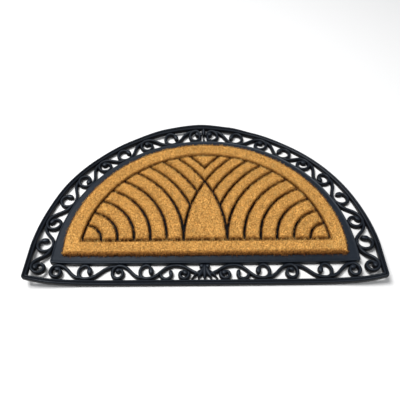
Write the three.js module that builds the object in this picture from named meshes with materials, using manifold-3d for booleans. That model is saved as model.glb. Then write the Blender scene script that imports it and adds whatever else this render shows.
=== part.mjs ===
import * as THREE from 'three';
import { mergeVertices } from 'three/addons/utils/BufferGeometryUtils.js';
import Module from 'manifold-3d';

// Half-round doormat: a moulded rubber tray with an openwork scroll border
// and 22 fields of coir pile standing in its recess. Millimetres, Z up,
// width along X, the arched back towards +Y.

// heights above the floor
const FLOOR_SHEET = 8;
const LEDGE = 11.5;
const BEAD = 12.4;
const SCROLL_FOOT = 0.5;
const SCROLL_TOP = 10.4;
const PILE_TOP = 21;

// plan of the tray, y from the level line of the coir pattern
const ARCH_Y = -16;
const RIM_R = 375;
const RIM_WIDTH = 11;
const RIM_FRONT = -102;
const LEDGE_R = 324.5;
const LEDGE_FRONT = -54;
const RECESS_R = 305;
const RECESS_FRONT = -36.8;
// the sides of the coir draw in towards the front, from this y on
const DRAW_IN = 3.5;
const DRAW_FROM = 60;
// the front edges bow out a little between the corners
const BOW = 1.2;
const SPANS = 10;

// plan of the coir fields
const CLEARANCE = 0.3;
const GROOVE = 6.2;
const PATTERN_R = 269;
const PATTERN_HALF = 268.4;
const PATTERN_X = 2.2;
const PILE_EDGE = 2;
const RINGS = [41.4, 77.3, 113.2, 148.8, 184.3, 221.1, 252.5, 284.3, 316.1];
const CROWN_RING = 340.8;

// round-topped strand of the scroll work, across and up
const STRAND = [
  { across: -3.9, up: SCROLL_FOOT },
  { across: 3.9, up: SCROLL_FOOT },
  { across: 2.8, up: 7.6 },
  { across: 0, up: SCROLL_TOP },
  { across: -2.8, up: 7.6 },
];
const STRAND_HALF = 3.9;

// outer rim with two ridges, inwards from the edge and up
const RIM_PROFILE = [
  { inwards: 0, up: 0 },
  { inwards: RIM_WIDTH, up: 0 },
  { inwards: RIM_WIDTH, up: 7.6 },
  { inwards: 8.4, up: 10.3 },
  { inwards: 5.4, up: 8 },
  { inwards: 2.5, up: 10.3 },
  { inwards: 0, up: 7.6 },
];

// scrolls of one half of the arch, from the crown to the corner
// along runs on the middle of the band from the arch's level line, rim is +1 for a
// strand that comes in at the rim and -1 at the ledge, leaves is the side the next
// strand starts from, turn is how far the loop curls, long and wide size its bulb
const ARCH_SCROLLS = [
  { along: 520, rim: 1, leaves: 1, loop: 15.5, turn: 320, long: 6.4, wide: 5 },
  { along: 456.5, rim: -1, leaves: -1, loop: 17.2, turn: 256, long: 9, wide: 5.6 },
  { along: 391, rim: 1, leaves: 1, loop: 16.6, turn: 345, long: 7.4, wide: 5.6 },
  { along: 326.5, rim: -1, leaves: -1, loop: 17.2, turn: 256, long: 9, wide: 5.6 },
  { along: 268.5, rim: 1, leaves: 1, loop: 16.6, turn: 340, long: 7.4, wide: 6 },
  { along: 205.5, rim: -1, leaves: 1, loop: 17.6, turn: 345, long: 7.4, wide: 6 },
  { along: 136.5, rim: -1, leaves: -1, loop: 17.2, turn: 256, long: 9, wide: 5.6 },
  { along: 69, rim: 1, leaves: 1, loop: 16.4, turn: 325, long: 8.6, wide: 4.8 },
  { along: 9, rim: -1, leaves: -1, loop: 17.2, turn: 256, long: 9, wide: 5.6 },
  { along: -50, rim: 1, leaves: 1, loop: 14, turn: 350, long: 7.6, wide: 5.6 },
];
const ARCH_START = { along: 535, across: 3 };

// scrolls of one half of the front, from the middle out to the corner
const FRONT_SCROLLS = [
  { along: 61, rim: -1, leaves: -1, loop: 0 },
  { along: 121, rim: 1, leaves: 1, loop: 14, turn: 262, long: 8.6, wide: 5.6 },
  { along: 179, rim: -1, leaves: -1, loop: 13.6, turn: 375, long: 6.2, wide: 4.6 },
  { along: 249, rim: 1, leaves: 1, loop: 14, turn: 262, long: 8.6, wide: 5.6 },
  { along: 307.5, rim: -1, leaves: -1, loop: 12.6, turn: 345, long: 6.6, wide: 5.2 },
];
// loops of the front are this much longer across the band than along it
const FRONT_OVAL = 1.16;
const FRONT_START = { along: 9, across: 6 };

// small scrolls under the middle arch of the front: centre, loop radius, the angle
// they leave at, how far and which way they curl, and their bulbs
const SMALL_SCROLLS = [
  { x: 43, y: -79, loop: 10.4, start: 150, turn: 330, way: 1, long: 6.4, wide: 5.2 },
  { x: 79, y: -79, loop: 11.5, start: 0, turn: 195, way: -1, long: 7.6, wide: 4.6 },
];

// leaves of the middle ornament on the front, at its right half
const FRONT_LEAVES = [
  { x0: 3, y0: -65, x1: 14, y1: -89, wide: 5.4 },
  { x0: 10, y0: -70, x1: 28, y1: -91, wide: 2.6 },
];

// loop radius as a share of its full size while the strand curls in
const SPIRAL = [
  { turn: 0, share: 1 },
  { turn: 90, share: 0.95 },
  { turn: 180, share: 0.87 },
  { turn: 250, share: 0.74 },
  { turn: 330, share: 0.45 },
  { turn: 400, share: 0.26 },
];

// curl, lift in mm of each front tip and of the rim round the back
const CURL_REACH = 149;
const CURL_TURN = 34.5;
const TIP_LIFT = { left: 25, right: 20 };
// the curl draws each tip in, in mm, beyond this reach
const TIP_DRAW = { left: 7.5, right: 8 };
const DRAW_REACH = 85;
const CURL = [
  { reach: 0, share: 0 },
  { reach: 45, share: 0.05 },
  { reach: 85, share: 0.246 },
  { reach: 120, share: 0.58 },
  { reach: CURL_REACH, share: 1 },
];
const BACK_LIFT = [
  { angle: 55, lift: 0 },
  { angle: 70, lift: 3.5 },
  { angle: 80, lift: 9.5 },
  { angle: 92, lift: 15 },
  { angle: 105, lift: 12.4 },
  { angle: 120, lift: 6.5 },
  { angle: 135, lift: 4.4 },
  { angle: 150, lift: 5 },
  { angle: 165, lift: 1.5 },
  { angle: 178, lift: 0 },
];

const RUBBER = '#2a3039';
const COIR = '#c9974f';

const SHIFT_Y = -(RIM_FRONT - BOW + RIM_R + ARCH_Y) / 2;
const RIM_INNER_R = RIM_R - RIM_WIDTH;
const ARCH_MID = (LEDGE_R + RIM_INNER_R) / 2;
const ARCH_REACH = (RIM_INNER_R - LEDGE_R) / 2 - STRAND_HALF + 0.3;
const FRONT_MID = (LEDGE_FRONT + RIM_FRONT + RIM_WIDTH) / 2;
const FRONT_REACH = (LEDGE_FRONT - RIM_FRONT - RIM_WIDTH) / 2 - STRAND_HALF + 0.3;

const radians = THREE.MathUtils.degToRad;
const wasm = await Module();
wasm.setup();

function toSolid(geometry) {
  const bare = geometry.clone();
  bare.deleteAttribute('normal');
  bare.deleteAttribute('uv');
  const merged = mergeVertices(bare, 1e-4);
  const mesh = new wasm.Mesh({
    numProp: 3,
    vertProperties: new Float32Array(merged.attributes.position.array),
    triVerts: new Uint32Array(merged.index.array),
  });
  return new wasm.Manifold(mesh);
}

function unite(solids) {
  let row = [...solids];
  while (row.length > 1) {
    const next = [];
    for (let i = 0; i < row.length; i += 2) {
      next.push(i + 1 < row.length ? row[i].add(row[i + 1]) : row[i]);
    }
    row = next;
  }
  return row[0];
}

function geometryOf(points, faces) {
  const g = new THREE.BufferGeometry();
  g.setAttribute('position', new THREE.Float32BufferAttribute(points.flat(), 3));
  g.setIndex(faces.flat());
  return g;
}

// level face of a half-round outline, in strips from side to side down to the
// corners, then fans to the points of the front
function rungs(count, steps) {
  const faces = [];
  const L = steps + 1;
  const R = count - 1;
  const pairs = [[steps / 2, steps / 2]];
  for (let i = steps / 2 - 1; i >= 0; i--) pairs.push([i, steps - i]);
  pairs.push([R, L]);
  for (let i = 0; i + 1 < pairs.length; i++) {
    const [[r0, l0], [r1, l1]] = [pairs[i], pairs[i + 1]];
    if (i > 0) faces.push([r0, l0, l1]);
    faces.push([r0, l1, r1]);
  }
  const mid = Math.round((L + R) / 2);
  for (let p = L + 1; p < mid; p++) faces.push([L, p, p + 1]);
  for (let p = mid; p + 1 < R; p++) faces.push([R, p, p + 1]);
  faces.push([L, mid, R]);
  return faces;
}

// stack of level outlines with the same number of points, closed at both ends
function loft(levels, ladder = 0) {
  const count = levels[0].outline.length;
  const points = [];
  const faces = [];
  for (const { outline, z } of levels) {
    for (const [x, y] of outline) points.push([x, y, z]);
  }
  for (let k = 0; k + 1 < levels.length; k++) {
    for (let i = 0; i < count; i++) {
      const a = k * count + i;
      const b = k * count + ((i + 1) % count);
      faces.push([a, b, b + count], [a, b + count, a + count]);
    }
  }
  const cap = (level) => {
    if (ladder) return rungs(count, ladder);
    const flat = levels[level].outline.map(([x, y]) => new THREE.Vector2(x, y));
    return THREE.ShapeUtils.triangulateShape(flat, []);
  };
  const top = (levels.length - 1) * count;
  for (const [a, b, c] of cap(0)) faces.push([a, c, b]);
  for (const [a, b, c] of cap(levels.length - 1)) faces.push([a + top, b + top, c + top]);
  return geometryOf(points, faces);
}

// half-round outline, counterclockwise from the right end of the arch
function halfRound(radius, front, corner, steps = 48, drawIn = 0) {
  const start = front > ARCH_Y ? Math.asin((front - ARCH_Y) / radius) : 0;
  const outline = [];
  for (let i = 0; i <= steps; i++) {
    const a = start + ((Math.PI - 2 * start) * i) / steps;
    outline.push([radius * Math.cos(a), ARCH_Y + radius * Math.sin(a)]);
  }
  if (front > ARCH_Y) return outline;
  const x = radius - corner;
  const y = front + corner;
  for (const a of [180, 210, 240, 270]) {
    outline.push([-x + corner * Math.cos(radians(a)), y + corner * Math.sin(radians(a))]);
  }
  for (let k = 1; k < SPANS; k++) {
    const at = (2 * k) / SPANS - 1;
    outline.push([x * at, front - BOW * (1 - at * at)]);
  }
  for (const a of [270, 300, 330, 360]) {
    outline.push([x + corner * Math.cos(radians(a)), y + corner * Math.sin(radians(a))]);
  }
  return outline.map(([px, py]) => {
    const down = Math.max(DRAW_FROM - py, 0) / (DRAW_FROM - front);
    return [px * (1 - (drawIn / radius) * down * down), py];
  });
}

// closed hoop of a profile that follows the half-round edge
function hoop(profile) {
  const loops = profile.map(({ inwards }) =>
    halfRound(RIM_R - inwards, RIM_FRONT + inwards, 4.5 - inwards * 0.28, 50));
  const count = loops[0].length;
  const points = [];
  const faces = [];
  profile.forEach(({ up }, k) => {
    for (const [x, y] of loops[k]) points.push([x, y, up]);
  });
  for (let k = 0; k < profile.length; k++) {
    const next = (k + 1) % profile.length;
    for (let i = 0; i < count; i++) {
      const j = (i + 1) % count;
      const a = k * count + i;
      const b = k * count + j;
      const c = next * count + j;
      const d = next * count + i;
      faces.push([a, c, b], [a, d, c]);
    }
  }
  return geometryOf(points, faces);
}

// strand section swept along a level path
function sweep(path, ends = 1) {
  const last = path.length - 1;
  const points = [];
  const faces = [];
  path.forEach(([x, y], i) => {
    const [x0, y0] = path[Math.max(i - 1, 0)];
    const [x1, y1] = path[Math.min(i + 1, last)];
    const length = Math.hypot(x1 - x0, y1 - y0);
    const side = [-(y1 - y0) / length, (x1 - x0) / length];
    const width = i === last ? ends : 1;
    for (const { across, up } of STRAND) {
      points.push([x + side[0] * across * width, y + side[1] * across * width, up]);
    }
  });
  const n = STRAND.length;
  for (let i = 0; i < last; i++) {
    for (let k = 0; k < n; k++) {
      const a = i * n + k;
      const b = i * n + ((k + 1) % n);
      faces.push([a, b, b + n], [a, b + n, a + n]);
    }
  }
  for (let k = 1; k + 1 < n; k++) {
    faces.push([0, k + 1, k]);
    faces.push([last * n, last * n + k, last * n + k + 1]);
  }
  return geometryOf(points, faces);
}

// low dome on an oval foot, long axis at the given angle
function dome(x, y, long, wide, angle, height = SCROLL_TOP + 0.6) {
  const c = Math.cos(angle);
  const s = Math.sin(angle);
  const oval = (scale) => {
    const outline = [];
    for (let i = 0; i < 7; i++) {
      const a = (i / 7) * 2 * Math.PI;
      const u = long * scale * Math.cos(a);
      const v = wide * scale * Math.sin(a);
      outline.push([x + u * c - v * s, y + u * s + v * c]);
    }
    return outline;
  };
  return loft([
    { outline: oval(1), z: SCROLL_FOOT },
    { outline: oval(1), z: height - 3.6 },
    { outline: oval(0.5), z: height },
  ]);
}

function archPoint([along, across]) {
  const r = ARCH_MID + across;
  if (along <= 0) return [r, ARCH_Y + along];
  const a = along / ARCH_MID;
  return [r * Math.cos(a), ARCH_Y + r * Math.sin(a)];
}

function frontPoint([along, across]) {
  return [along, FRONT_MID - across - BOW * (1 - (along / RIM_R) ** 2)];
}

function bend(p0, p1, p2, p3, steps) {
  const path = [];
  for (let i = 0; i <= steps; i++) {
    const u = i / steps;
    const w = [(1 - u) ** 3, 3 * u * (1 - u) ** 2, 3 * u * u * (1 - u), u ** 3];
    path.push([0, 1].map((k) => w[0] * p0[k] + w[1] * p1[k] + w[2] * p2[k] + w[3] * p3[k]));
  }
  return path;
}

function spiralShare(turn) {
  const k = SPIRAL.findIndex((row, i) => i > 0 && turn <= row.turn);
  const [a, b] = [SPIRAL[k - 1], SPIRAL[k]];
  return a.share + ((b.share - a.share) * (turn - a.turn)) / (b.turn - a.turn);
}

// bulb at the end of a curled strand
function bulb(path, long, wide) {
  const [[xb, yb], [x, y]] = path.slice(-2);
  return dome(x, y, long, wide, Math.atan2(y - yb, x - xb));
}

// small spiral that leaves another strand
function hook({ x, y, loop, start, turn, way, long, wide }) {
  const steps = Math.round(turn / 40);
  const path = [];
  for (let i = 0; i <= steps; i++) {
    const at = (turn * i) / steps;
    const a = radians(start + way * at);
    const r = loop * spiralShare(at);
    path.push([x + r * Math.cos(a), y + r * Math.sin(a)]);
  }
  return [sweep(path, 0.8), bulb(path, long, wide)];
}

// running scrolls: S-shaped strands, each curling into a loop with a bulb
function vine(table, start, way, reach, place, oval = 1) {
  const solids = [];
  let from = [start.along, start.across];
  let rise = -9;
  for (const { along, rim, leaves, loop, turn, long, wide } of table) {
    const pull = Math.abs(along - from[0]) * 0.5;
    const lead = [from[0] + way * pull, from[1]];
    if (rise) lead[1] = from[1] + Math.sign(rim) * Math.abs(rise);
    const path = bend(from, lead, [along - way * pull, rim * reach], [along, rim * reach], 6);
    if (loop) {
      const steps = Math.round(turn / 40);
      for (let i = 1; i <= steps; i++) {
        const at = (turn * i) / steps;
        const r = loop * spiralShare(at);
        const a = radians(at);
        const out = reach + (r * Math.cos(a) - loop) * oval;
        path.push([along + way * r * Math.sin(a), rim * out]);
      }
      solids.push(bulb(path.map(place), long, wide));
    } else {
      path.push([along + way * 2, rim * reach]);
    }
    solids.push(sweep(path.map(place), loop ? 0.8 : 1));
    // the next strand parts from the loop a little way round it
    const part = radians(loop ? 26 : 0);
    const low = reach - (loop || 0) * oval * (1 - Math.cos(part));
    from = [along + way * (loop || 0) * Math.sin(part), leaves * low];
    rise = 0;
  }
  return solids;
}

// leaf outline, share of its length and of its half width
const LEAF = [[0, -0.5], [0.35, -1], [0.75, -0.6], [1, -0.12], [1, 0.12], [0.75, 0.6], [0.35, 1], [0, 0.5]];

// leaf with a point at its far end
function leaf(x0, y0, x1, y1, wide) {
  const angle = Math.atan2(y1 - y0, x1 - x0);
  const long = Math.hypot(x1 - x0, y1 - y0);
  const c = Math.cos(angle);
  const s = Math.sin(angle);
  const outline = (scale) =>
    LEAF.map(([u, v]) => {
      const a = long * (0.5 + (u - 0.5) * (0.85 + 0.15 * scale));
      const b = wide * v * scale;
      return [x0 + a * c - b * s, y0 + a * s + b * c];
    });
  return loft([
    { outline: outline(1), z: SCROLL_FOOT },
    { outline: outline(1), z: SCROLL_TOP - 3 },
    { outline: outline(0.35), z: SCROLL_TOP },
  ]);
}

function mirrored(solid) {
  const geometry = geometryFrom(solid);
  const index = geometry.index.array;
  geometry.scale(-1, 1, 1);
  for (let i = 0; i < index.length; i += 3) {
    [index[i], index[i + 1]] = [index[i + 1], index[i]];
  }
  return toSolid(geometry);
}

function geometryFrom(solid) {
  const mesh = solid.getMesh();
  const g = new THREE.BufferGeometry();
  g.setAttribute('position', new THREE.Float32BufferAttribute(Array.from(mesh.vertProperties), 3));
  g.setIndex(Array.from(mesh.triVerts));
  return g;
}

// distance into the curled corner on either side
function cornerReach(x, y) {
  const c = Math.cos(radians(CURL_TURN));
  const s = Math.sin(radians(CURL_TURN));
  return CURL_REACH - (RIM_R - Math.abs(x)) * c - (y - RIM_FRONT) * s;
}

function backLift(angle) {
  const k = BACK_LIFT.findIndex((row, i) => i > 0 && angle <= row.angle);
  if (k < 1 || angle < BACK_LIFT[0].angle) return 0;
  const [a, b] = [BACK_LIFT[k - 1], BACK_LIFT[k]];
  const u = (angle - a.angle) / (b.angle - a.angle);
  return a.lift + (b.lift - a.lift) * u * u * (3 - 2 * u);
}

function tipLift(x, y) {
  const reach = cornerReach(x, y);
  if (reach <= 0) return 0;
  const k = Math.max(CURL.findIndex((row) => reach <= row.reach), 1);
  const [a, b] = [CURL[k - 1], CURL[k]];
  const share = a.share + ((b.share - a.share) * (reach - a.reach)) / (b.reach - a.reach);
  return share * (x < 0 ? TIP_LIFT.left : TIP_LIFT.right);
}

function settle([x, y, z]) {
  let up = tipLift(x, y);
  const r = Math.hypot(x, y - ARCH_Y);
  if (r > LEDGE_R && y > ARCH_Y) {
    const out = (r - LEDGE_R) / (RIM_R - LEDGE_R);
    up += backLift(THREE.MathUtils.radToDeg(Math.atan2(y - ARCH_Y, x))) * out * out;
  }
  const tip = Math.max((cornerReach(x, y) - DRAW_REACH) / (CURL_REACH - DRAW_REACH), 0);
  const draw = (x < 0 ? TIP_DRAW.left : TIP_DRAW.right) * tip * tip;
  const inwards = Math.sign(x) * draw * Math.cos(radians(CURL_TURN));
  return [x - inwards, y + draw * Math.sin(radians(CURL_TURN)) + SHIFT_Y, z + up];
}

const onSheet = ([x, y]) => Math.abs(x) < LEDGE_R + 0.1 && y > LEDGE_FRONT - 0.1;

// faces split where the rule cuts an edge, at a share of the way along it
function split(points, faces, rule) {
  const made = new Map();
  const cut = (a, b) => {
    const [p, q] = a < b ? [a, b] : [b, a];
    const key = `${p}_${q}`;
    if (made.has(key)) return made.get(key);
    const [P, Q] = [points[p], points[q]];
    const u = rule(P, Q);
    made.set(key, u > 0 ? points.length : -1);
    if (u > 0) points.push([0, 1, 2].map((k) => P[k] + (Q[k] - P[k]) * u));
    return made.get(key);
  };
  const result = [];
  for (const [a, b, c] of faces) {
    const [ab, bc, ca] = [cut(a, b), cut(b, c), cut(c, a)];
    if (ab >= 0 && bc >= 0) result.push([ab, b, bc], [a, ab, bc], [a, bc, c]);
    else if (bc >= 0 && ca >= 0) result.push([bc, c, ca], [a, b, bc], [a, bc, ca]);
    else if (ca >= 0 && ab >= 0) result.push([ca, a, ab], [ab, b, c], [ab, c, ca]);
    else if (ab >= 0) result.push([a, ab, c], [ab, b, c]);
    else if (bc >= 0) result.push([a, b, bc], [a, bc, c]);
    else if (ca >= 0) result.push([a, b, ca], [ca, b, c]);
    else result.push([a, b, c]);
  }
  return result;
}

// long edges are cut at the middle line, so no face spans both corners
function atMiddle(P, Q) {
  if (Math.max(cornerReach(P[0], P[1]), cornerReach(Q[0], Q[1])) <= 0) return 0;
  if (P[0] * Q[0] >= 0 || Math.abs(P[0] - Q[0]) < 60) return 0;
  return P[0] / (P[0] - Q[0]);
}

// edges are cut where the corner curl passes a step, short ones only on the sheet
function atCurl(step) {
  return (P, Q) => {
    const [p, q] = [P, Q].map(([x, y]) => cornerReach(x, y) - step);
    if (p * q >= 0 || P[0] * Q[0] < -1e-6) return 0;
    const length = Math.hypot(P[0] - Q[0], P[1] - Q[1], P[2] - Q[2]);
    if (length < (onSheet(P) && onSheet(Q) ? 3 : 24)) return 0;
    return p / (p - q);
  };
}

const group = new THREE.Group();

function addNode(name, solid, color, roughness) {
  const mesh = solid.getMesh();
  const points = [];
  let faces = [];
  for (let i = 0; i < mesh.vertProperties.length; i += 3) {
    points.push(Array.from(mesh.vertProperties.slice(i, i + 3)));
  }
  for (let i = 0; i < mesh.triVerts.length; i += 3) {
    faces.push(Array.from(mesh.triVerts.slice(i, i + 3)));
  }
  faces = split(points, faces, atMiddle);
  for (const { reach } of CURL.slice(0, 4)) faces = split(points, faces, atCurl(reach));
  const settled = geometryOf(points.map(settle), faces);
  const geometry = settled.toNonIndexed();
  geometry.computeVertexNormals();
  const material = new THREE.MeshStandardMaterial({ color, roughness, metalness: 0 });
  const node = new THREE.Mesh(geometry, material);
  node.name = name;
  group.add(node);
}

// rubber tray: sheet with its raised ledge, rim and scroll work
function tray() {
  const ledge = (inwards) => halfRound(LEDGE_R - inwards, LEDGE_FRONT + inwards, 3.6 - inwards * 0.3);
  const recess = halfRound(RECESS_R, RECESS_FRONT, 2, 48, DRAW_IN);
  const sheet = loft([
    { outline: ledge(0), z: 0 },
    { outline: ledge(0), z: LEDGE },
    { outline: ledge(1), z: BEAD },
    { outline: ledge(2.6), z: BEAD },
    { outline: ledge(3.8), z: LEDGE },
    { outline: recess, z: LEDGE },
    { outline: recess, z: FLOOR_SHEET },
  ], 48);
  const half = [
    ...vine(ARCH_SCROLLS, ARCH_START, -1, ARCH_REACH, archPoint),
    ...vine(FRONT_SCROLLS, FRONT_START, 1, FRONT_REACH, frontPoint, FRONT_OVAL),
    ...SMALL_SCROLLS.flatMap(hook),
    dome(6.4, -60.5, 5, 4.6, 0),
    ...FRONT_LEAVES.map(({ x0, y0, x1, y1, wide }) => leaf(x0, y0, x1, y1, wide)),
  ].map(toSolid);
  const crown = [];
  for (const side of [-0.035, 0, 0.035]) {
    const a = Math.PI / 2 + side;
    const at = (r) => [r * Math.cos(a), ARCH_Y + r * Math.sin(a)];
    crown.push(toSolid(leaf(...at(LEDGE_R - 1), ...at(LEDGE_R + 19 - Math.abs(side) * 150), 2.4)));
  }
  const right = unite(half);
  return unite([
    toSolid(sheet),
    toSolid(hoop(RIM_PROFILE)),
    right,
    mirrored(right),
    toSolid(leaf(0, LEDGE_FRONT - 3, 0, RIM_FRONT + RIM_WIDTH - BOW - 0.5, 6)),
    toSolid(leaf(0, ARCH_Y + RIM_INNER_R + 0.5, 0, ARCH_Y + ARCH_MID + 1, 5)),
    ...crown,
  ]);
}

const PILE_FOOT = FLOOR_SHEET + CLEARANCE;
const PILE_SIDE = PILE_TOP - PILE_EDGE;

function circle(x, y, r, grown) {
  const count = Math.max(26, Math.ceil((2 * Math.PI * r) / 18));
  return Array.from({ length: count }, (_, i) => {
    const a = (i / count) * 2 * Math.PI;
    return [x + (r + grown) * Math.cos(a), y + (r + grown) * Math.sin(a)];
  });
}

// pile inside an outline that shrinks by the given amount
function pile(outline) {
  return toSolid(loft([
    { outline: outline(0), z: PILE_FOOT },
    { outline: outline(0), z: PILE_SIDE },
    { outline: outline(PILE_EDGE), z: PILE_TOP },
  ]));
}

// what is taken from the pile, its upper edge opened like the pile's own edge
function cutter(outline) {
  return toSolid(loft([
    { outline: outline(0), z: PILE_FOOT - 1 },
    { outline: outline(0), z: PILE_SIDE },
    { outline: outline(PILE_EDGE + 1), z: PILE_TOP + 1 },
  ]));
}

const side = GROOVE / 2;
const inside = (x, r) => pile((d) => circle(x, 0, r - side, -d));
const outside = (x, r) => cutter((d) => circle(x, 0, r + side, d));
const patternField = pile((d) => halfRound(PATTERN_R - side - d, side + d, 0, 50));
const slid = (solid) => {
  const g = geometryFrom(solid);
  g.translate(PATTERN_X, 0, 0);
  return toSolid(g);
};

function border() {
  const edge = RECESS_FRONT + CLEARANCE;
  const outer = pile((d) => halfRound(RECESS_R - CLEARANCE - d, edge + d, 2.4, 46, DRAW_IN));
  const inner = cutter((d) => halfRound(PATTERN_R + side + d, -side - d, 0, 46));
  return outer.subtract(slid(inner));
}

addNode('rubber_tray', tray(), RUBBER, 0.55);
addNode('coir_border', border(), COIR, 0.95);
const ARCH_RING = RINGS[8];
for (const [name, way] of [['left', -1], ['right', 1]]) {
  const near = way * PATTERN_HALF;
  const notArch = outside(-near, ARCH_RING);
  RINGS.forEach((r, k) => {
    let field = patternField.intersect(inside(near, r));
    if (k > 0) field = field.subtract(outside(near, RINGS[k - 1]));
    if (k > 5) field = field.subtract(notArch);
    addNode(`coir_${name}_${k + 1}`, slid(field), COIR, 0.95);
  });
}
const bothArches = inside(-PATTERN_HALF, ARCH_RING).intersect(inside(PATTERN_HALF, ARCH_RING));
addNode('coir_arch', slid(patternField.intersect(bothArches)), COIR, 0.95);
const aboveArch = patternField
  .subtract(outside(-PATTERN_HALF, ARCH_RING))
  .subtract(outside(PATTERN_HALF, ARCH_RING));
const belowCrown = (x) => inside(x, CROWN_RING);
const chevron = aboveArch.intersect(belowCrown(-PATTERN_HALF).add(belowCrown(PATTERN_HALF)));
addNode('coir_chevron', slid(chevron), COIR, 0.95);
const crownField = patternField
  .subtract(outside(-PATTERN_HALF, CROWN_RING))
  .subtract(outside(PATTERN_HALF, CROWN_RING));
addNode('coir_crown', slid(crownField), COIR, 0.95);

export default group;
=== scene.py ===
import math

import bmesh
import bpy
import numpy as np
from mathutils import Matrix, Vector


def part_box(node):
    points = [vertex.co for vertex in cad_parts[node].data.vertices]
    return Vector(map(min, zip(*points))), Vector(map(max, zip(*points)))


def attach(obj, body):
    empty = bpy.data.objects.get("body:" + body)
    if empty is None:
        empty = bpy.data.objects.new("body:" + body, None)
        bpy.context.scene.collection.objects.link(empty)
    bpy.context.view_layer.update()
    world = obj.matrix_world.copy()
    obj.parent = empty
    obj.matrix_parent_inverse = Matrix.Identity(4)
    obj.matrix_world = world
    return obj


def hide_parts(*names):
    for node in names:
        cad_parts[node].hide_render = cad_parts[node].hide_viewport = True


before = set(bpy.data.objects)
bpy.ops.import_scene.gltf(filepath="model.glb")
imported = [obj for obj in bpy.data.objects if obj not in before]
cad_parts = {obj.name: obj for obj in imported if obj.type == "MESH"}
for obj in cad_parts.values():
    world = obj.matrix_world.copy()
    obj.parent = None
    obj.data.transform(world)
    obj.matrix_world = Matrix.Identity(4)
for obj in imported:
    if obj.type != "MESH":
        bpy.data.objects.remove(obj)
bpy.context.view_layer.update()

# Half-round coir doormat. Tables are in mm, in the plan of the coir pattern:
# x from its middle line and y from its level line, z up from the floor.
MM = 0.001
rng = np.random.default_rng(7)
TRAY_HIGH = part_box("rubber_tray")[1]

# heights
FLOOR_SHEET = 8
LEDGE = 11.5
SCROLL_FOOT = 0.5
SCROLL_TOP = 10.4
BULB_TOP = SCROLL_TOP + 0.6
PILE_FOOT = 8.3
PILE_TOP = 21

# plan of the tray
ARCH_Y = -16
RIM_R = 375
RIM_WIDTH = 11
RIM_FRONT = -102
RIM_CORNER = 4.5
RIM_CORNER_LOSS = 0.28
RIM_STEPS = 220
BOW = 1.2
LEDGE_R = 324.5
LEDGE_FRONT = -54
LEDGE_CORNER = 3.6
LEDGE_CORNER_LOSS = 0.3
LEAST_CORNER = 0.8
LEDGE_FOOT = 0.4
FOOT_CORNER = 3.5
RECESS_R = 305
RECESS_FRONT = -36.8
RECESS_CORNER = 2
DRAW_IN = 3.5
DRAW_FROM = 60
SHIFT_Y = TRAY_HIGH.y / MM - RIM_R - ARCH_Y

# sheet: heights of the recess wall, and rings in the floor and on the underside,
# as shares of the outline about a point in the middle
WALL_HEIGHTS = [LEDGE - 0.1, LEDGE - 0.6, FLOOR_SHEET]
FLOOR_RINGS = [0.97, 0.93, 0.88, 0.8, 0.7, 0.58, 0.44, 0.28, 0.1]
UNDER_RINGS = [0.1, 0.3, 0.5, 0.66, 0.78, 0.88, 0.95]
MIDDLE = [0, 60]

# plan of the coir fields; bands from CUT_BAND on end at the arch
GROOVE = 6.2
PATTERN_R = 269
PATTERN_HALF = 268.4
PATTERN_X = 2.2
RINGS = [41.4, 77.3, 113.2, 148.8, 184.3, 221.1, 252.5, 284.3, 316.1]
CROWN_RING = 340.8
CUT_BAND = 6
PILE_GAP = 0.3

# strand section, across and up
STRAND_HALF = 3.9
STRAND = [
    (-3.8, SCROLL_FOOT), (3.8, SCROLL_FOOT), (3.8, 5.6), (3.5, 7.3), (2.8, 8.8), (1.5, 10),
    (0, SCROLL_TOP), (-1.5, 10), (-2.8, 8.8), (-3.5, 7.3), (-3.8, 5.6),
]
# share of its width at the start and the end, and what it gains by step and by length
STRAND_START, START_GAIN = 0.62, 0.19
STRAND_END, END_GAIN = 0.78, 0.9

# rim with two ridges, inwards from the edge and up
RIM_PROFILE = [
    (0.3, 0), (10.8, 0), (11, 0.4), (11, 7), (10.6, 8.7), (9.7, 10), (8.4, 10.5), (7.1, 9.9),
    (6.2, 8.6), (5.4, 8.1), (4.6, 8.6), (3.8, 9.9), (2.5, 10.5), (1.3, 10.1), (0.4, 8.9),
    (0, 7.2), (0, 0.4),
]

# ledge with its bead: inwards from the ledge's edge and up
LEDGE_PROFILE = [
    (LEDGE_FOOT, 0), (0, 0.5), (0, 10.6), (0.3, 11.7), (0.9, 12.3), (1.8, 12.5), (2.7, 12.3),
    (3.3, 11.8), (3.8, 11.5), (5, 11.4), (10, 11.4),
]

# scrolls of one half of the arch: along the band, rim side, side the next strand
# leaves from, loop radius, turn of the loop, length and half width of the bulb
ARCH_SCROLLS = [
    (520, 1, 1, 15.5, 320, 6.4, 5), (456.5, -1, -1, 17.2, 256, 9, 5.6),
    (391, 1, 1, 16.6, 345, 7.4, 5.6), (326.5, -1, -1, 17.2, 256, 9, 5.6),
    (268.5, 1, 1, 16.6, 340, 7.4, 6), (205.5, -1, 1, 17.6, 345, 7.4, 6),
    (136.5, -1, -1, 17.2, 256, 9, 5.6), (69, 1, 1, 16.4, 325, 8.6, 4.8),
    (9, -1, -1, 17.2, 256, 9, 5.6), (-50, 1, 1, 14, 350, 7.6, 5.6),
]
ARCH_START = (535, 3)
FRONT_SCROLLS = [
    (61, -1, -1, 0, 0, 0, 0), (121, 1, 1, 14, 262, 8.6, 5.6), (179, -1, -1, 13.6, 375, 6.2, 4.6),
    (249, 1, 1, 14, 262, 8.6, 5.6), (307.5, -1, -1, 12.6, 345, 6.6, 5.2),
]
FRONT_START = (9, 6)
FRONT_OVAL = 1.16
# small scrolls: centre, loop radius, leaving angle, turn, way, bulb
SMALL_SCROLLS = [
    (43, -79, 10.4, 150, 330, 1, 6.4, 5.2),
    (79, -79, 11.5, 0, 195, -1, 7.6, 4.6),
]
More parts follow.
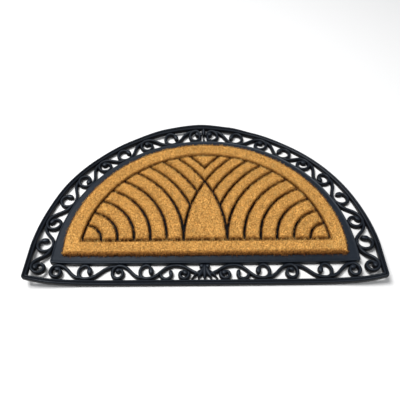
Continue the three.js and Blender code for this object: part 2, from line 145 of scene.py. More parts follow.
# loops: turn in degrees and share of the loop's radius that is left
SPIRAL_TURN = [0, 90, 180, 250, 330, 400]
SPIRAL_SHARE = [1, 0.95, 0.87, 0.74, 0.45, 0.26]
SPIRAL_STEP = 9
# the next strand leaves a loop after this turn; the first one rises this much at its start
LEAVE_TURN = 26
FIRST_RISE = 9
BEND_STEPS = 18
END_RUN = 2

# bulbs and domes: share of their plan and depth below their top
BULB_PROFILE = [(1, 4), (0.95, 2.6), (0.8, 1.3), (0.55, 0.4), (0.2, 0)]
BULB_SIDES = 20
FRONT_DOME = (6.4, -60.5, 5, 4.6)

# leaves: half width along them, and share of their plan by height
LEAF_ALONG = [0, 0.12, 0.25, 0.38, 0.52, 0.66, 0.8, 0.92, 1]
LEAF_HALF = [0.5, 0.78, 0.95, 1, 0.92, 0.74, 0.5, 0.26, 0.1]
LEAF_PROFILE = [(1, SCROLL_FOOT), (1, 6.2), (0.9, 8), (0.66, 9.2), (0.3, 10.1), (0.06, 10.4)]
LEAF_KEPT, LEAF_SHRINKS = 0.88, 0.12
# leaves of the front ornament: root, tip and half width
FRONT_LEAVES = [(3, -65, 14, -89, 5.4), (10, -70, 28, -91, 2.6)]
MIDDLE_LEAF = (0, LEDGE_FRONT - 3, 0, RIM_FRONT + RIM_WIDTH - BOW - 0.5, 6)
# fan of leaves at the crown: angles, length of the middle one, loss by angle, half width
FAN = [-0.035, 0, 0.035]
FAN_LONG = 19
FAN_LOSS = 150
FAN_HALF = 2.4

# curl of the front tips and lift of the rim round the back
CURL_REACH = 149
CURL_TURN = math.radians(34.5)
TIP_LEFT = 25
TIP_RIGHT = 20
CURL_POWER = 2.5
DRAW_LEFT = 7.5
DRAW_RIGHT = 8
DRAW_REACH = 85
BACK_ANGLE = [55, 70, 80, 92, 105, 120, 135, 150, 165, 178]
BACK_LIFT = [0, 3.5, 9.5, 15, 12.4, 6.5, 4.4, 5, 1.5, 0]

# band of the scrolls: its middle, and how far a strand goes to each side of that
JOIN = 0.3
RIM_INNER_R = RIM_R - RIM_WIDTH
ARCH_MID = (LEDGE_R + RIM_INNER_R) / 2
ARCH_REACH = (RIM_INNER_R - LEDGE_R) / 2 - STRAND_HALF + JOIN
FRONT_MID = (LEDGE_FRONT + RIM_FRONT + RIM_WIDTH) / 2
FRONT_REACH = (LEDGE_FRONT - RIM_FRONT - RIM_WIDTH) / 2 - STRAND_HALF + JOIN
CROWN_LEAF = (0, ARCH_Y + RIM_INNER_R + 0.5, 0, ARCH_Y + ARCH_MID + 1, 5)

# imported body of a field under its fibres; its edges are cut until they are this short, in m
BODY_TOP = 17.4
BODY_INSET = 0.3
FRONT_INSET = 4 * BODY_INSET
BODY_EDGE = 0.007
BODY_CUTS = 8
# the body's rise is kept low, so it gets painted shade as the space between fibres
BODY_SHADED_RISE = 0.68
BODY_TONE = 0.45

# rounded edges of the fields: width, trim and painted shade, and what a front edge adds
EDGE_WIDTH, FRONT_WIDTH = 3.2, 6.4
EDGE_TRIM, FRONT_TRIM = 2.0, 3
EDGE_PAINTED_SHADE, FRONT_PAINTED_SHADE = 0.08, 0.47
FACING_POWER = 2.5
BACK_FACING = 0.35
FACING_FROM, FACING_OVER = 10, 30

# fibres per mm2, and the strip along the edges in which they stand more densely
DENSITY = 2.35
STRIP = 1.6
STRIP_SPREAD = 0.5
MARGIN_FRONT, MARGIN_BACK = 3, 1
FIRST_SEED = 100
LEAST_INSIDE, LEAST_EXTRA = 0.15, 0.1
SLOPE_STEP = 0.4

# fibres: foot above the sheet in the strip, foot below the body's top, half width
STRIP_FOOT = (0.2, 5)
BODY_FOOT = (0.4, 1.8)
FIBRE_HALF = (0.16, 0.34)
TIP_MEAN, TIP_SPREAD, TIP_MOST = -0.7, 0.4, 0.6
TURN_RANGE, TURN_SPREAD = 2.5 * math.pi, 0.9
LEAN_SPREAD, LEAN_LEAST = 0.85, 0.3
TONE_MEAN, TONE_SPREAD = 0.54, 0.17
BROWN_SHARE, BROWN_DROP = 0.08, 0.42

# how far they lean out at an edge: either way, towards the front or back, and more at
# the level groove, in full near it and less and less over its reach
LEAN_OUT, LEAN_FRONT, LEAN_LEVEL = 2.1, 3.4, 3.4
LEVEL_FULL, LEVEL_REACH = 1.4, 10

# patches in which fibres behave alike: size in mm and seed
CLUMP, WIDE_CLUMP, TURNS = (3.2, 1), (7.5, 2), (5.5, 3)
CLUMP_SHARE, WIDE_SHARE = 0.8, 0.5
CLUMP_RISE, CLUMP_TONE = 0.8, 0.26
# blotches: size in mm, seed, gain and base of a share from 0 to 1
FRAYS, HOLLOWS, LEANS = (4, 4, 1, 0.2), (9, 5, 1.6, 0.3), (3.6, 6, 1.3, 0.5)
FRAY_POWER, FRAY_GAIN, FRAY_DROP = 1.5, 3.2, (0.4, 1.6)
LEAN_BASE, LEAN_GAIN = 0.4, 1.2
# painted shade in the hollows of the frayed edge, its spread from fibre to fibre, and how much it
# lowers a fibre's tone
HOLLOW_PAINTED_SHADE = 0.5
PAINTED_SHADE_RANGE = (0.25, 1.6)
PAINTED_SHADE_TONE = 0.5

# finish of the rubber: colours, and painted shade by height that darkens it and dims its sheen on
# walls, in grooves and low down
RUBBER_BLACK = [(0.3, (0.0045, 0.0065, 0.010)), (0.7, (0.007, 0.010, 0.016))]
RUBBER_DUST = (0.025, 0.029, 0.035)
RUBBER_PAINTED_SHADE = (0.004, 0.004, 0.005)
SHEEN, SHEEN_IN_PAINTED_SHADE = (0.86, 0.93, 1), (0.12, 0.12, 0.12)
PAINTED_SHADE_HEIGHT = [5, 8, 8.2, 10, 10.5, 11.2]
PAINTED_SHADE_SHARE = [1, 1, 0.85, 0.3, 0.12, 0]
RUBBER_ROUGH = (0.36, 0.52)
RUBBER_SPECULAR = 0.21
SHARP_ANGLE = 38

# finish of the coir: colour by the fibre's tone, and the painted shade that multiplies it by its
# height
COIR_TONES = [
    (0, (0.30, 0.12, 0.028)), (0.25, (0.67, 0.40, 0.115)),
    (0.6, (0.93, 0.675, 0.24)), (1, (1, 0.90, 0.47)),
]
COIR_PAINTED_SHADE = [
    (0, (0.19, 0.11, 0.06)), (0.3, (0.32, 0.2, 0.11)), (0.6, (0.58, 0.44, 0.31)), (0.9, (1, 1, 1)),
]
PATCH_SHADES = ((0.9, 0.87, 0.83), (1.12, 1.12, 1.1))
BROAD_SHADES = ((0.95, 0.94, 0.92), (1.03, 1.03, 1.02))
GRAIN_SHADES = ((0.54, 0.46, 0.36), (1.24, 1.25, 1.27))
COIR_ROUGH, COIR_SPECULAR = 0.8, 0.25

# studio
FLOOR_SIZE, FLOOR_DROP = 14, 0.0005
FLOOR_PALE = (0.63, 0.627, 0.623, 1)
WORLD_PALE = (0.93, 0.96, 1, 1)
WORLD_STRENGTH = 0.4
FLOOR_ROUGH = 0.9

# camera: the point it looks at in mm, its angles, distance in m, focal length in pixels
LOOK = Vector((-9.5, -22.7, PILE_TOP)) * MM
ELEVATION = math.radians(51.342)
AZIMUTH = math.radians(-1.158)
ROLL = math.radians(-1.511)
DISTANCE = 1.0169
FOCAL, PHOTO_WIDTH, SENSOR = 442.63, 400, 36


def corner_reach(x, y):
    """Distance into the curled corner on either side."""
    across, back = RIM_R - np.abs(x), y - RIM_FRONT
    return CURL_REACH - across * math.cos(CURL_TURN) - back * math.sin(CURL_TURN)


def lift(x, y):
    """How far the mat stands up off the floor at a point of its plan."""
    reach = np.clip(corner_reach(x, y), 0, None)
    tip = np.where(x < 0, TIP_LEFT, TIP_RIGHT) * (reach / CURL_REACH) ** CURL_POWER
    r = np.hypot(x, y - ARCH_Y)
    angle = np.degrees(np.arctan2(y - ARCH_Y, x))
    k = np.clip(np.searchsorted(BACK_ANGLE, angle) - 1, 0, len(BACK_ANGLE) - 2)
    a, b = np.array(BACK_ANGLE)[k], np.array(BACK_ANGLE)[k + 1]
    u = np.clip((angle - a) / (b - a), 0, 1)
    p, q = np.array(BACK_LIFT)[k], np.array(BACK_LIFT)[k + 1]
    back = p + (q - p) * u * u * (3 - 2 * u)
    out = np.clip((r - LEDGE_R) / (RIM_R - LEDGE_R), 0, None) ** 2
    return tip + np.where(y > ARCH_Y, back * out, 0)


def placed(points):
    """Points of the flat mat taken to the row frame, in metres; the curl draws the tips in."""
    x, y, z = np.array(points, float).T
    tip = np.clip((corner_reach(x, y) - DRAW_REACH) / (CURL_REACH - DRAW_REACH), 0, None)
    draw = np.where(x < 0, DRAW_LEFT, DRAW_RIGHT) * tip**2
    in_x, in_y = np.sign(x) * draw * math.cos(CURL_TURN), draw * math.sin(CURL_TURN)
    return np.c_[x - in_x, y + in_y + SHIFT_Y, z + lift(x, y)] * MM


def drawn_in(y):
    """Share of its full width that the coir has at a y of the plan."""
    down = np.clip(DRAW_FROM - y, 0, None) / (DRAW_FROM - RECESS_FRONT)
    return 1 - DRAW_IN / RECESS_R * down**2


class Shape:
    """Points and faces of one piece, gathered from closed parts."""

    def __init__(self):
        self.points, self.faces = [], []

    def stack(self, rings, joined=False):
        """Closed part through rings of equal count, with an end face at each end, or with
        its last ring joined to its first."""
        start, n = len(self.points), len(rings[0])
        for ring in rings:
            self.points.extend(ring)
        turns = len(rings) if joined else len(rings) - 1
        for k in range(turns):
            a0, b0 = start + k * n, start + ((k + 1) % len(rings)) * n
            for i in range(n):
                j = (i + 1) % n
                self.faces.append((a0 + i, a0 + j, b0 + j, b0 + i))
        if not joined:
            end = start + (len(rings) - 1) * n
            self.faces.append(tuple(range(start + n - 1, start - 1, -1)))
            self.faces.append(tuple(range(end, end + n)))

    def mirror(self):
        """Adds the other half."""
        count = len(self.points)
        self.points += [(-x, y, z) for x, y, z in self.points]
        self.faces += [tuple(count + i for i in reversed(f)) for f in self.faces]

    def add(self, other):
        count = len(self.points)
        self.points += other.points
        self.faces += [tuple(count + i for i in f) for f in other.faces]


def half_round(radius, front, corner, steps=180, bends=6, spans=60):
    """Half-round outline, counterclockwise from the right end of the arch."""
    a = np.linspace(0, math.pi, steps + 1)
    x, y = radius - corner, front + corner
    rows = [np.c_[radius * np.cos(a), ARCH_Y + radius * np.sin(a)]]
    b = np.radians(np.linspace(180, 270, bends))
    rows.append(np.c_[-x + corner * np.cos(b), y + corner * np.sin(b)])
    at = np.linspace(-1, 1, spans + 1)[1:-1]
    rows.append(np.c_[x * at, front - BOW * (1 - at * at)])
    b = np.radians(np.linspace(270, 360, bends))
    rows.append(np.c_[x + corner * np.cos(b), y + corner * np.sin(b)])
    return np.vstack(rows)


def at_height(outline, z):
    """Outline of the plan as a level ring."""
    return [(float(x), float(y), z) for x, y in outline]


def bend(p0, p1, p2, p3):
    """Smooth path from p0 to p3, pulled towards p1 and p2."""
    u = np.linspace(0, 1, BEND_STEPS + 1)[:, None]
    p0, p1, p2, p3 = (np.array(p, float) for p in (p0, p1, p2, p3))
    path = (1 - u) ** 3 * p0 + 3 * u * (1 - u) ** 2 * p1 + 3 * u * u * (1 - u) * p2 + u**3 * p3
    return [tuple(p) for p in path]


def arch_point(p):
    """Plan point of a place in the arched band; below the level line the band runs straight."""
    along, across = p
    r = ARCH_MID + across
    if along <= 0:
        return (r, ARCH_Y + along)
    a = along / ARCH_MID
    return (r * math.cos(a), ARCH_Y + r * math.sin(a))


def front_point(p):
    """Plan point of a place in the front band."""
    along, across = p
    return (along, FRONT_MID - across - BOW * (1 - (along / RIM_R) ** 2))


def sweep(shape, path):
    """Strand along a level path, a little thinner where it leaves and where it ends."""
    path = np.array(path)
    ahead = np.gradient(path, axis=0)
    ahead /= np.linalg.norm(ahead, axis=1)[:, None]
    n = len(path)
    rings = []
    for i, ((x, y), (tx, ty)) in enumerate(zip(path, ahead)):
        left = (n - 1 - i) / (n - 1)
        width = min(1, STRAND_START + i * START_GAIN, STRAND_END + left * END_GAIN)
        rings.append([(x - ty * s * width, y + tx * s * width, z) for s, z in STRAND])
    shape.stack(rings)


def dome(shape, x, y, long, wide, angle):
    """Rounded oval knob at a point of the plan."""
    turn = np.linspace(0, 2 * math.pi, BULB_SIDES, endpoint=False)
    c, s = math.cos(angle), math.sin(angle)
    rings = []
    profile = [(scale, BULB_TOP - down) for scale, down in BULB_PROFILE]
    for scale, z in [(1, SCROLL_FOOT)] + profile:
        u, v = long * scale * np.cos(turn), wide * scale * np.sin(turn)
        rings.append(at_height(np.c_[x + u * c - v * s, y + u * s + v * c], z))
    shape.stack(rings)


def bulb(shape, path, long, wide):
    """Knob at the end of a strand, in line with it."""
    (xb, yb), (x, y) = path[-3], path[-1]
    dome(shape, x, y, long, wide, math.atan2(y - yb, x - xb))


def leaf(shape, x0, y0, x1, y1, wide):
    """Raised leaf from its root to its tip."""
    long, angle = math.hypot(x1 - x0, y1 - y0), math.atan2(y1 - y0, x1 - x0)
    c, s = math.cos(angle), math.sin(angle)
    u = np.r_[LEAF_ALONG, LEAF_ALONG[::-1]]
    v = np.r_[-np.array(LEAF_HALF), LEAF_HALF[::-1]]
    rings = []
    for scale, z in LEAF_PROFILE:
        a = long * (0.5 + (u - 0.5) * (LEAF_KEPT + LEAF_SHRINKS * scale))
        b = wide * v * scale
        rings.append(at_height(np.c_[x0 + a * c - b * s, y0 + a * s + b * c], z))
    shape.stack(rings)


def curl_path(loop, turn):
    """Radius and angle of a loop as it curls in."""
    at = np.linspace(0, turn, round(turn / SPIRAL_STEP) + 1)
    return loop * np.interp(at, SPIRAL_TURN, SPIRAL_SHARE), np.radians(at)


def vine(shape, rows, start, way, reach, place, oval=1):
    """Strands of a band one after another: each swings across and curls in to its bulb."""
    came, rise = start, FIRST_RISE
    for along, rim, leaves, loop, turn, long, wide in rows:
        pull = abs(along - came[0]) * 0.5
        lead = (came[0] + way * pull, came[1] + rim * rise)
        path = bend(came, lead, (along - way * pull, rim * reach), (along, rim * reach))
        if loop:
            r, a = curl_path(loop, turn)
            for k in range(1, len(r)):
                out = reach + (r[k] * math.cos(a[k]) - loop) * oval
                path.append((along + way * r[k] * math.sin(a[k]), rim * out))
        else:
            path.append((along + way * END_RUN, rim * reach))
        path = [place(p) for p in path]
        if loop:
            bulb(shape, path, long, wide)
        sweep(shape, path)
        part = math.radians(LEAVE_TURN if loop else 0)
        low = reach - loop * oval * (1 - math.cos(part))
        came, rise = (along + way * loop * math.sin(part), leaves * low), 0


def tray_shape():
    """Rubber tray: sheet, ledge, rim, scrolls and leaves."""
    shape = Shape()
    rings = []
    for inwards, z in LEDGE_PROFILE:
        corner = max(LEDGE_CORNER - inwards * LEDGE_CORNER_LOSS, LEAST_CORNER)
        rings.append(at_height(half_round(LEDGE_R - inwards, LEDGE_FRONT + inwards, corner), z))
    recess = half_round(RECESS_R, RECESS_FRONT, RECESS_CORNER)
    recess[:, 0] *= drawn_in(recess[:, 1])
    rings += [at_height(recess, z) for z in WALL_HEIGHTS]
    for share in FLOOR_RINGS:
        rings.append(at_height(MIDDLE + (recess - MIDDLE) * share, FLOOR_SHEET))
    foot = half_round(LEDGE_R - LEDGE_FOOT, LEDGE_FRONT + LEDGE_FOOT, FOOT_CORNER)
    under = [at_height(MIDDLE + (foot - MIDDLE) * share, 0) for share in UNDER_RINGS]
    shape.stack(under + rings)

    rim = []
    for inwards, z in RIM_PROFILE:
        corner = RIM_CORNER - inwards * RIM_CORNER_LOSS
        outline = half_round(RIM_R - inwards, RIM_FRONT + inwards, corner, RIM_STEPS)
        rim.append(at_height(outline, z))
    shape.stack(rim[::-1], joined=True)

    half = Shape()
    vine(half, ARCH_SCROLLS, ARCH_START, -1, ARCH_REACH, arch_point)
    vine(half, FRONT_SCROLLS, FRONT_START, 1, FRONT_REACH, front_point, FRONT_OVAL)
    for x, y, loop, start, turn, way, long, wide in SMALL_SCROLLS:
        r, a = curl_path(loop, turn)
        a = math.radians(start) + way * a
        path = list(zip(x + r * np.cos(a), y + r * np.sin(a)))
        bulb(half, path, long, wide)
        sweep(half, path)
    dome(half, *FRONT_DOME, 0)
    for row in FRONT_LEAVES:
        leaf(half, *row)
    half.mirror()
    shape.add(half)
    leaf(shape, *MIDDLE_LEAF)
    leaf(shape, *CROWN_LEAF)
    for side in FAN:
        c, s = math.cos(math.pi / 2 + side), math.sin(math.pi / 2 + side)
        r0, r1 = LEDGE_R - 1, LEDGE_R + FAN_LONG - abs(side) * FAN_LOSS
        leaf(shape, r0 * c, ARCH_Y + r0 * s, r1 * c, ARCH_Y + r1 * s, FAN_HALF)
    return shape


def mesh_object(name, points, faces, material, sharp=None):
    """Mesh from points in metres; with an angle its faces are smooth but for sharper edges."""
    mesh = bpy.data.meshes.new(name)
    mesh.from_pydata([tuple(p) for p in points], [], faces)
    mesh.materials.append(material)
    if sharp:
        mesh.polygons.foreach_set("use_smooth", [True] * len(mesh.polygons))
        mesh.set_sharp_from_angle(angle=math.radians(sharp))
    piece = bpy.data.objects.new(name, mesh)
    bpy.context.scene.collection.objects.link(piece)
    return piece


class Nodes:
    """Shorthand for a node material."""

    def __init__(self, name):
        self.material = bpy.data.materials.new(name)
        self.material.use_nodes = True
        self.tree = self.material.node_tree
        self.surface = self.tree.nodes["Principled BSDF"]

    def add(self, kind, inputs=None, **settings):
        node = self.tree.nodes.new(kind)
        for key, value in settings.items():
            setattr(node, key, value)
        for key, value in (inputs or {}).items():
            self.put(node, key, value)
        return node

    def put(self, node, key, value):
        if isinstance(value, bpy.types.NodeSocket):
            self.tree.links.new(value, node.inputs[key])
        else:
            node.inputs[key].default_value = value

    def noise(self, scale, detail=4, rough=0.6):
        where = self.add("ShaderNodeTexCoord").outputs["Object"]
        inputs = {"Vector": where, "Scale": scale, "Detail": detail, "Roughness": rough}
        return self.add("ShaderNodeTexNoise", inputs).outputs["Fac"]

    def ramp(self, fac, stops):
        node = self.add("ShaderNodeValToRGB", {"Fac": fac})
        edge = node.color_ramp.elements
        while len(edge) < len(stops):
            edge.new(0.5)
        for element, (at, color) in zip(edge, stops):
            element.position, element.color = at, (*color, 1)
        return node.outputs["Color"]

    def mix(self, fac, a, b, blend="MIX"):
        """Colour mix. Its colour sockets share their names with others, so they go by number."""
        node = self.add("ShaderNodeMix", data_type="RGBA", blend_type=blend)
        for key, value in ((0, fac), (6, a), (7, b)):
            if isinstance(value, tuple):
                value = (*value, 1)
            self.put(node, key, value)
        return node.outputs[2]

    def value(self, fac, low, high, to_low, to_high):
        inputs = {"Value": fac, "From Min": low, "From Max": high}
        inputs |= {"To Min": to_low, "To Max": to_high}
        return self.add("ShaderNodeMapRange", inputs).outputs["Result"]

    def bump(self, height, strength, distance, over=None):
        inputs = {"Height": height, "Strength": strength, "Distance": distance}
        node = self.add("ShaderNodeBump", inputs)
        if over:
            self.put(node, "Normal", over)
        return node.outputs["Normal"]


def rubber_material():
    """Matt black rubber, a little dusty, with painted shade from an attribute that darkens it and
    dims its sheen low down.
    """
    m = Nodes("moulded_rubber")
    broad, fine, grain = m.noise(9, 3), m.noise(150, 5), m.noise(1400, 3)
    base = m.ramp(broad, RUBBER_BLACK)
    dusty = m.mix(m.value(fine, 0.55, 0.8, 0, 0.25), base, RUBBER_DUST)
    # painted shade: the rubber and its sheen are darker on walls, in grooves and low down
    painted_shade = m.add("ShaderNodeAttribute", attribute_name="painted_shade").outputs["Fac"]
    m.put(m.surface, "Base Color", m.mix(painted_shade, dusty, RUBBER_PAINTED_SHADE))
    m.put(m.surface, "Specular Tint", m.mix(painted_shade, SHEEN, SHEEN_IN_PAINTED_SHADE))
    m.put(m.surface, "Roughness", m.value(fine, 0.3, 0.75, *RUBBER_ROUGH))
    m.put(m.surface, "Specular IOR Level", RUBBER_SPECULAR)
    m.put(m.surface, "Normal", m.bump(grain, 0.25, 0.0004, over=m.bump(fine, 0.3, 0.0009)))
    return m.material


def coir_material():
    """Coir: the attribute "tone" gives a fibre's colour, and by "rise" painted shade darkens it
    low in the pile.
    """
    m = Nodes("coir_fibre")
    tone = m.add("ShaderNodeAttribute", attribute_name="tone").outputs["Fac"]
    rise = m.add("ShaderNodeAttribute", attribute_name="rise").outputs["Fac"]
    broad, patch = m.noise(14, 3), m.noise(90, 4, 0.65)
    fibre = m.ramp(tone, COIR_TONES)
    shade = m.mix(m.value(patch, 0.35, 0.7, 0, 1), *PATCH_SHADES)
    wide = m.mix(m.value(broad, 0.3, 0.7, 0, 1), *BROAD_SHADES)
    grain = m.mix(m.value(m.noise(380, 2, 0.5), 0.36, 0.64, 0, 1), *GRAIN_SHADES)
    color = m.mix(1.0, m.mix(1.0, fibre, shade, "MULTIPLY"), wide, "MULTIPLY")
    color = m.mix(1.0, color, grain, "MULTIPLY")
    # painted shade: darker low in the pile and at the edges of the fields
    depth = m.ramp(rise, COIR_PAINTED_SHADE)
    m.put(m.surface, "Base Color", m.mix(1.0, color, depth, "MULTIPLY"))
    m.put(m.surface, "Roughness", COIR_ROUGH)
    m.put(m.surface, "Specular IOR Level", COIR_SPECULAR)
    m.put(m.surface, "Normal", m.bump(m.noise(900, 4), 0.5, 0.0008))
    return m.material


RUBBER, COIR = rubber_material(), coir_material()


def fields_at(x, y):
    """Distance inside each coir field, in mm, by node name, for points of the plan."""
    side = GROOVE / 2
    px = x - PATTERN_X
    r = np.hypot(px, y - ARCH_Y)
    in_pattern = np.minimum(PATTERN_R - side - r, y - side)
    out_pattern = np.maximum(r - PATTERN_R - side, -side - y)
    wide = x / drawn_in(y)
    front = RECESS_FRONT + PILE_GAP - BOW * (1 - (wide / RECESS_R) ** 2)
    from_arch = np.hypot(wide, np.maximum(y - ARCH_Y, 0))
    in_recess = np.minimum(RECESS_R - PILE_GAP - from_arch, y - front)
    found = {"coir_border": np.minimum(in_recess, out_pattern)}
    from_left, from_right = np.hypot(px + PATTERN_HALF, y), np.hypot(px - PATTERN_HALF, y)
    nearer, farther = np.minimum(from_left, from_right), np.maximum(from_left, from_right)
    last = RINGS[-1]
    sides = (("left", from_left, from_right), ("right", from_right, from_left))
    for name, own, other in sides:
        for k, ring in enumerate(RINGS):
            inside = np.minimum(in_pattern, ring - side - own)
            if k > 0:
                inside = np.minimum(inside, own - RINGS[k - 1] - side)
            if k >= CUT_BAND:
                inside = np.minimum(inside, other - last - side)
            found[f"coir_{name}_{k + 1}"] = inside
    found["coir_arch"] = np.minimum(in_pattern, last - side - farther)
    above = np.minimum(in_pattern, nearer - last - side)
    found["coir_chevron"] = np.minimum(above, CROWN_RING - side - nearer)
    found["coir_crown"] = np.minimum(in_pattern, nearer - CROWN_RING - side)
    return found


def distance_slope(name, x, y):
    """Direction in plan towards the inside of a field."""
    dx = fields_at(x + SLOPE_STEP, y)[name] - fields_at(x - SLOPE_STEP, y)[name]
    dy = fields_at(x, y + SLOPE_STEP)[name] - fields_at(x, y - SLOPE_STEP)[name]
    length = np.maximum(np.hypot(dx, dy), 1e-9)
    return dx / length, dy / length


def patches(x, y, size, seed):
    """Soft random values over the plan, from -1 to 1, in patches of a size in mm."""
    table = np.random.default_rng(seed).uniform(-1, 1, (256, 256))
    u, v = x / size + 512, y / size + 512
    i, j = np.floor(u).astype(int), np.floor(v).astype(int)
    a, b = u - i, v - j
    a, b = a * a * (3 - 2 * a), b * b * (3 - 2 * b)
    i, j, i2, j2 = i % 256, j % 256, (i + 1) % 256, (j + 1) % 256
    low, high = (table[i, row] * (1 - a) + table[i2, row] * a for row in (j, j2))
    return low * (1 - b) + high * b


def blotches(x, y, size, seed, gain, base):
    """Share from 0 to 1 that comes and goes over the plan."""
    return np.clip(gain * patches(x, y, size, seed) + base, 0, 1)


def rounding(inside, in_y, y):
    """How near the edge of its field a point is, how far the pile is trimmed there, and
    how much painted shade it gets. Edges that face the front are rounder and get more
    painted shade, as if lit from behind, most of all the front edge of the mat."""
    near_front = np.clip((FACING_FROM - y) / FACING_OVER, 0, 1)
    facing = np.clip(in_y, 0, 1) ** FACING_POWER * (BACK_FACING + (1 - BACK_FACING) * near_front)
    edge = np.clip(1 - inside / (EDGE_WIDTH + FRONT_WIDTH * facing), 0, 1)
    trim = (EDGE_TRIM + FRONT_TRIM * facing) * edge**2
    # the third value is painted shade, strongest on edges that face the front
    return edge, trim, (EDGE_PAINTED_SHADE + FRONT_PAINTED_SHADE * facing) * edge


def tufts(x, y, inside, in_x, in_y, seed, spill):
    """Thin upright fibres, in clumps: two points at the foot and one at the tip. They lean
    out at the edges of a field, and where spill is 1 they are frayed."""
    r = np.random.default_rng(seed)
    n = len(x)
    clump = CLUMP_SHARE * patches(x, y, *CLUMP) + WIDE_SHARE * patches(x, y, *WIDE_CLUMP)
    edge, trim, painted_dark = rounding(inside, in_y, y)
    strip_foot, body_foot = r.uniform(*STRIP_FOOT, n), r.uniform(*BODY_FOOT, n)
    foot = np.where(inside < STRIP, PILE_FOOT + strip_foot, BODY_TOP - trim - body_foot)
    top = PILE_TOP + r.normal(TIP_MEAN, TIP_SPREAD, n) + CLUMP_RISE * clump - trim
    top = np.minimum(top, PILE_TOP + TIP_MOST)
    turn = TURN_RANGE * patches(x, y, *TURNS) + r.normal(0, TURN_SPREAD, n)
    lean = np.abs(r.normal(0, LEAN_SPREAD, n)) + LEAN_LEAST
    # the outer edge is frayed, with painted shade in hollows here and there
    hollow = spill * blotches(x, y, *HOLLOWS)
    painted_dark = (painted_dark + HOLLOW_PAINTED_SHADE * hollow * edge) * r.uniform(*PAINTED_SHADE_RANGE, n)
    shaggy = 1 + FRAY_GAIN * blotches(x, y, *FRAYS)
    frayed = spill * r.uniform(0, 1, n) ** FRAY_POWER * shaggy
    level = LEAN_LEVEL * np.clip(LEVEL_FULL - np.abs(y) / LEVEL_REACH, 0, 1)
    uneven = LEAN_BASE + LEAN_GAIN * blotches(x, y, *LEANS)
    outwards = r.uniform(0, LEAN_OUT, n) + r.uniform(0, LEAN_FRONT + level) * np.abs(in_y) ** 2
    over = edge * (uneven * outwards + frayed)
    top -= edge * frayed * r.uniform(*FRAY_DROP, n)
    tip_x = x + lean * np.cos(turn) - in_x * over
    tip_y = y + lean * np.sin(turn) - in_y * over
    across = r.uniform(0, math.pi, n)
    half = r.uniform(*FIBRE_HALF, n)
    wx, wy = half * np.cos(across), half * np.sin(across)
    a = np.c_[x - wx, y - wy, foot]
    b = np.c_[x + wx, y + wy, foot]
    c = np.c_[tip_x, tip_y, top]
    points = np.stack([a, b, c], 1).reshape(-1, 3)
    # rise is the fibre's height share less its painted shade, and painted shade lowers its tone as
    # well
    rise = (points[:, 2] - PILE_FOOT) / (PILE_TOP - PILE_FOOT) - np.repeat(painted_dark, 3)
    tone = r.normal(TONE_MEAN, TONE_SPREAD, n) + CLUMP_TONE * clump - PAINTED_SHADE_TONE * painted_dark
    tone -= np.where(r.random(n) < BROWN_SHARE, BROWN_DROP, 0)
    return points, np.clip(rise, 0, 1), np.repeat(np.clip(tone, 0, 1), 3)


def packed_body(name):
    """Body of a field under its fibres: the solid cut into small faces, with its top lowered
    and its edges trimmed as the fibres are. Gives its points, its faces and their rise, kept low
    and lowered at the edges so that it gets painted shade."""
    bm = bmesh.new()
    bm.from_mesh(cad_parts[name].data)
    for _ in range(BODY_CUTS):
        long = [e for e in bm.edges if e.calc_length() > BODY_EDGE]
        if not long:
            break
        bmesh.ops.subdivide_edges(bm, edges=long, cuts=1)
        bmesh.ops.triangulate(bm, faces=bm.faces)
    co = np.array([v.co for v in bm.verts])
    faces = [tuple(v.index for v in f.verts) for f in bm.faces]
    bm.free()
    x, y = co[:, 0] / MM, co[:, 1] / MM - SHIFT_Y
    up = lift(x, y)
    in_x, in_y = distance_slope(name, x, y)
    edge, trim, painted_dark = rounding(np.clip(fields_at(x, y)[name], 0, None), in_y, y)
    share = (co[:, 2] / MM - up - PILE_FOOT) / (PILE_TOP - PILE_FOOT)
    z = PILE_FOOT + share * (BODY_TOP - trim - PILE_FOOT) + up
    inset = np.sign(edge) * np.where((in_y > 0.5) & (y < 0), FRONT_INSET, BODY_INSET)
    body = np.c_[x + in_x * inset, y + in_y * inset + SHIFT_Y, z] * MM
    return body, faces, np.clip(share * BODY_SHADED_RISE - painted_dark, 0, 1)


def pile_piece(name, x, y, inside, seed):
    """One field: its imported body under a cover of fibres."""
    body, faces, body_rise = packed_body(name)
    in_x, in_y = distance_slope(name, x, y)
    # along the outside of the border the fibres spill over the edge of the recess
    past_middle = np.hypot(x - PATTERN_X, y - ARCH_Y) > (PATTERN_R + RECESS_R) / 2
    outside = past_middle | (y < RECESS_FRONT / 2)
    spill = np.where(outside & (name == "coir_border"), 1.0, 0.0)
    points, rise, tone = tufts(x, y, inside, in_x, in_y, seed, spill)
    first = len(body)
    blades = (np.arange(len(points)).reshape(-1, 3) + first).tolist()
    piece = mesh_object(name + "_pile", np.vstack([body, placed(points)]), faces + blades, COIR)
    body_tone = np.full(first, BODY_TONE)
    for label, values in (("rise", np.r_[body_rise, rise]), ("tone", np.r_[body_tone, tone])):
        data = piece.data.attributes.new(label, "FLOAT", "POINT").data
        data.foreach_set("value", values.astype(np.float32))
    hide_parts(name)
    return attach(piece, "root")


# random places over the whole recess, and a second share along the edges of the fields
low_y, high_y = RECESS_FRONT - MARGIN_FRONT, RECESS_R + ARCH_Y + MARGIN_BACK
count = int(2 * RECESS_R * (high_y - low_y) * DENSITY)
fx = rng.uniform(-RECESS_R, RECESS_R, count)
fy = rng.uniform(low_y, high_y, count)
depth = fields_at(fx, fy)
for k, (name, inside) in enumerate(depth.items()):
    keep = inside > LEAST_INSIDE
    near = keep & (inside < STRIP)
    x, y, d = fx[keep], fy[keep], inside[keep]
    extra = rng.uniform(-STRIP_SPREAD, STRIP_SPREAD, (2, int(near.sum())))
    ex, ey = fx[near] + extra[0], fy[near] + extra[1]
    ed = fields_at(ex, ey)[name]
    ok = ed > LEAST_EXTRA
    x, y, d = np.r_[x, ex[ok]], np.r_[y, ey[ok]], np.r_[d, ed[ok]]
    pile_piece(name, x, y, d, FIRST_SEED + k)

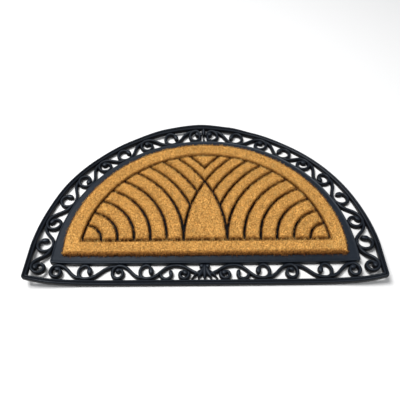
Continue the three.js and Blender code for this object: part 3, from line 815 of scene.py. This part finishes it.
shape = tray_shape()
tray = mesh_object("rubber_tray_moulding", placed(shape.points), shape.faces, RUBBER, SHARP_ANGLE)
# painted shade by height: full low on walls and in grooves, little on the tops
painted_shade = np.interp([z for x, y, z in shape.points], PAINTED_SHADE_HEIGHT, PAINTED_SHADE_SHARE)
painted_shade_data = tray.data.attributes.new("painted_shade", "FLOAT", "POINT").data
painted_shade_data.foreach_set("value", painted_shade.astype(np.float32))
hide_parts("rubber_tray")
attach(tray, "root")

# pale floor
bpy.ops.mesh.primitive_plane_add(size=FLOOR_SIZE, location=(0, 0, -FLOOR_DROP))
floor = bpy.context.object
floor.name = "floor"
pale = Nodes("pale_floor")
pale.put(pale.surface, "Base Color", FLOOR_PALE)
pale.put(pale.surface, "Roughness", FLOOR_ROUGH)
floor.data.materials.append(pale.material)

# soft studio light
world = bpy.data.worlds.new("studio")
bpy.context.scene.world = world
bpy.context.scene.view_settings.view_transform = "Standard"
world.use_nodes = True
background = world.node_tree.nodes["Background"]
background.inputs["Color"].default_value = WORLD_PALE
background.inputs["Strength"].default_value = WORLD_STRENGTH


def soft_light(name, place, size, power):
    """Round area lamp that points at the middle of the mat."""
    data = bpy.data.lights.new(name, "AREA")
    data.shape, data.size, data.energy = "DISK", size, power
    lamp = bpy.data.objects.new(name, data)
    lamp.location = place
    lamp.rotation_mode = "QUATERNION"
    lamp.rotation_quaternion = (-Vector(place)).to_track_quat("-Z", "Y")
    bpy.context.scene.collection.objects.link(lamp)


soft_light("key", place=(-0.85, 0.15, 2.5), size=1.3, power=108)
soft_light("fill", place=(0.9, -1.4, 1.9), size=1.8, power=14)

# camera at the photograph's viewing angle
level = math.cos(ELEVATION)
forward = Vector((math.sin(AZIMUTH) * level, math.cos(AZIMUTH) * level, -math.sin(ELEVATION)))
right = forward.cross(Vector((0, 0, 1))).normalized()
up = right.cross(forward)
rolled_right = math.cos(ROLL) * right + math.sin(ROLL) * up
rolled_up = -math.sin(ROLL) * right + math.cos(ROLL) * up
camera = bpy.data.objects.new("camera", bpy.data.cameras.new("camera"))
bpy.context.scene.collection.objects.link(camera)
camera.data.sensor_width = SENSOR
camera.data.lens = FOCAL / PHOTO_WIDTH * SENSOR
turned = Matrix((rolled_right, rolled_up, -forward)).transposed()
camera.matrix_world = Matrix.Translation(LOOK - forward * DISTANCE) @ turned.to_4x4()
bpy.context.scene.camera = camera

bpy.context.view_layer.update()
